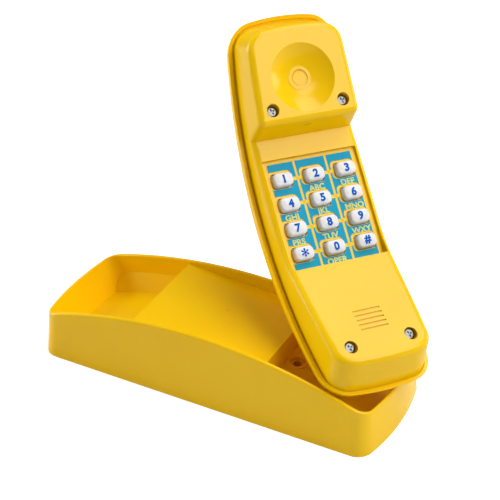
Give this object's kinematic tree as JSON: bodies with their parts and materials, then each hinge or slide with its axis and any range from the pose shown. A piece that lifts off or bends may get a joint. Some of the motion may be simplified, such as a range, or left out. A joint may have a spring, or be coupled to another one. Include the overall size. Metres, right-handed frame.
{
  "type": "toy push-button telephone",
  "caption": "Toy push-button telephone: slim curved handset with keypad on its face, and an arched open cradle with wall screw holes.",
  "frame": {"origin": "centre of the cradle's flat back, on the plane that meets the wall or table", "axes": "+Z out of the wall, through the cradle; +X along the cradle, from its earpiece pocket to its mouth pocket; +Y across it"},
  "size_m": [0.2314, 0.1506, 0.1906],
  "materials": {
    "yellow_plastic": "injection moulded, glossy",
    "white_plastic": "glossy keys with blue printed figures",
    "blue_label": "printed label, satin",
    "grey_rubber": "moulded rubber",
    "circuit_board": "green solder mask",
    "black_resin": "resin drop",
    "steel_screw": "bright plated",
    "steel_frame": "plated sheet",
    "paper_cone": "pressed paper",
    "black_magnet": "ferrite with a plated cup",
    "black_foam": "foam ring",
    "cell_jacket": "plain printed jacket",
    "red_lead": "insulated lead"
  },
  "bodies": {
    "cradle": {"cradle_shell": "yellow_plastic"},
    "handset": {"rear_shell": "yellow_plastic", "front_shell": "yellow_plastic", "keypad_label": "blue_label", "keypad_mat": "grey_rubber", "circuit_board": "circuit_board", "sound_chip": "black_resin", "board_screws": "steel_screw", "face_screws": "steel_screw", "speaker_frame": "steel_frame", "speaker_cone": "paper_cone", "speaker_magnet": "black_magnet", "speaker_gasket": "black_foam", "battery_cells": "cell_jacket", "battery_contacts": "steel_frame", "speaker_leads": "red_lead", "battery_leads": "red_lead"},
    "button_1": {"button_1": "white_plastic"},
    "button_2": {"button_2": "white_plastic"},
    "button_3": {"button_3": "white_plastic"},
    "button_4": {"button_4": "white_plastic"},
    "button_5": {"button_5": "white_plastic"},
    "button_6": {"button_6": "white_plastic"},
    "button_7": {"button_7": "white_plastic"},
    "button_8": {"button_8": "white_plastic"},
    "button_9": {"button_9": "white_plastic"},
    "button_star": {"button_star": "white_plastic"},
    "button_0": {"button_0": "white_plastic"},
    "button_pound": {"button_pound": "white_plastic"},
    "battery_door": {"battery_door": "yellow_plastic", "battery_door_screw": "steel_screw"}
  },
  "joints": [
    {"name": "handset_lift", "type": "slide", "parent": "cradle", "child": "handset", "axis": [0, 0, 1], "range_m": [0, 0.12]},
    {"name": "button_1_press", "type": "slide", "parent": "handset", "child": "button_1", "axis": [-0.5757, 0.401, -0.7126], "range_m": [0, 0.0012], "stiffness_N_per_m": 400},
    {"name": "button_2_press", "type": "slide", "parent": "handset", "child": "button_2", "axis": [-0.5757, 0.401, -0.7126], "range_m": [0, 0.0012], "stiffness_N_per_m": 400},
    {"name": "button_3_press", "type": "slide", "parent": "handset", "child": "button_3", "axis": [-0.5757, 0.401, -0.7126], "range_m": [0, 0.0012], "stiffness_N_per_m": 400},
    {"name": "button_4_press", "type": "slide", "parent": "handset", "child": "button_4", "axis": [-0.5757, 0.401, -0.7126], "range_m": [0, 0.0012], "stiffness_N_per_m": 400},
    {"name": "button_5_press", "type": "slide", "parent": "handset", "child": "button_5", "axis": [-0.5757, 0.401, -0.7126], "range_m": [0, 0.0012], "stiffness_N_per_m": 400},
    {"name": "button_6_press", "type": "slide", "parent": "handset", "child": "button_6", "axis": [-0.5757, 0.401, -0.7126], "range_m": [0, 0.0012], "stiffness_N_per_m": 400},
    {"name": "button_7_press", "type": "slide", "parent": "handset", "child": "button_7", "axis": [-0.5757, 0.401, -0.7126], "range_m": [0, 0.0012], "stiffness_N_per_m": 400},
    {"name": "button_8_press", "type": "slide", "parent": "handset", "child": "button_8", "axis": [-0.5757, 0.401, -0.7126], "range_m": [0, 0.0012], "stiffness_N_per_m": 400},
    {"name": "button_9_press", "type": "slide", "parent": "handset", "child": "button_9", "axis": [-0.5757, 0.401, -0.7126], "range_m": [0, 0.0012], "stiffness_N_per_m": 400},
    {"name": "button_star_press", "type": "slide", "parent": "handset", "child": "button_star", "axis": [-0.5757, 0.401, -0.7126], "range_m": [0, 0.0012], "stiffness_N_per_m": 400},
    {"name": "button_0_press", "type": "slide", "parent": "handset", "child": "button_0", "axis": [-0.5757, 0.401, -0.7126], "range_m": [0, 0.0012], "stiffness_N_per_m": 400},
    {"name": "button_pound_press", "type": "slide", "parent": "handset", "child": "button_pound", "axis": [-0.5757, 0.401, -0.7126], "range_m": [0, 0.0012], "stiffness_N_per_m": 400},
    {"name": "battery_door_hinge", "type": "hinge", "parent": "handset", "child": "battery_door", "pos_m": [0.0411, 0.03768, 0.06196], "axis": [-0.614, -0.7875, 0.0529], "range_deg": [0, 65]}
  ]
}
